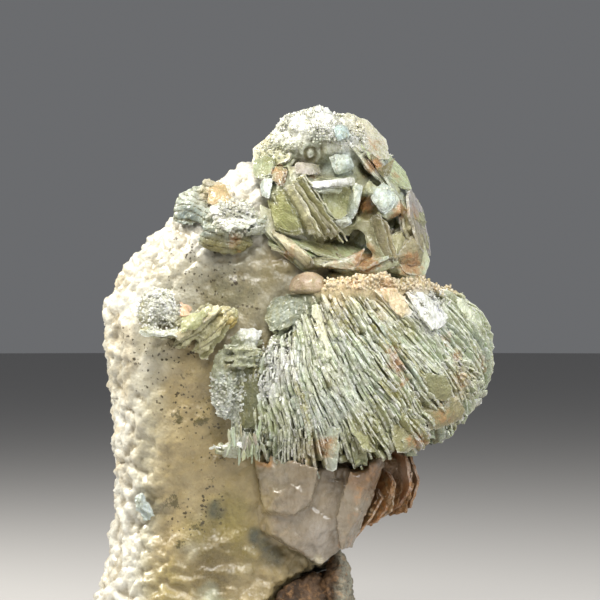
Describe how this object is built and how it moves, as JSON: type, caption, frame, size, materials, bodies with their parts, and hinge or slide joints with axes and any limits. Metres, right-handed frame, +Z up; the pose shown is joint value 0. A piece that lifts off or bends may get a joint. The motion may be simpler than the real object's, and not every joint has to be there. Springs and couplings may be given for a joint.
{
  "type": "mineral specimen",
  "caption": "Standing mineral specimen: a drusy white quartz finger carrying pale green fans and rosettes of bladed calcite, on a flat broken foot.",
  "frame": {"origin": "on the flat foot, about the middle of the specimen's width and depth", "axes": "+Z up from the foot, -Y towards the viewer who sees the fan on the right and the rosette on top, +X to that viewer's right"},
  "size_m": [0.0401, 0.0237, 0.0563],
  "materials": {
    "quartz_finger": "translucent, drusy",
    "calcite_fan": "pearly leaves",
    "calcite_rosette": "pearly leaves with brown edges",
    "shoulder_knob": "fibrous, crusted",
    "leaf_tuft": "pearly leaves, crusted",
    "small_book": "pearly leaves, frosted",
    "massive_calcite": "glassy, cleaved",
    "rusty_plates": "iron-stained",
    "rock_matrix": "rough, iron-stained",
    "low_flake": "pearly"
  },
  "bodies": {
    "root": {"quartz_finger": "quartz_finger", "calcite_fan": "calcite_fan", "calcite_rosette": "calcite_rosette", "shoulder_knob": "shoulder_knob", "leaf_tuft": "leaf_tuft", "small_book": "small_book", "massive_calcite": "massive_calcite", "rusty_plates": "rusty_plates", "rock_matrix": "rock_matrix", "low_flake": "low_flake"}
  },
  "joints": []
}
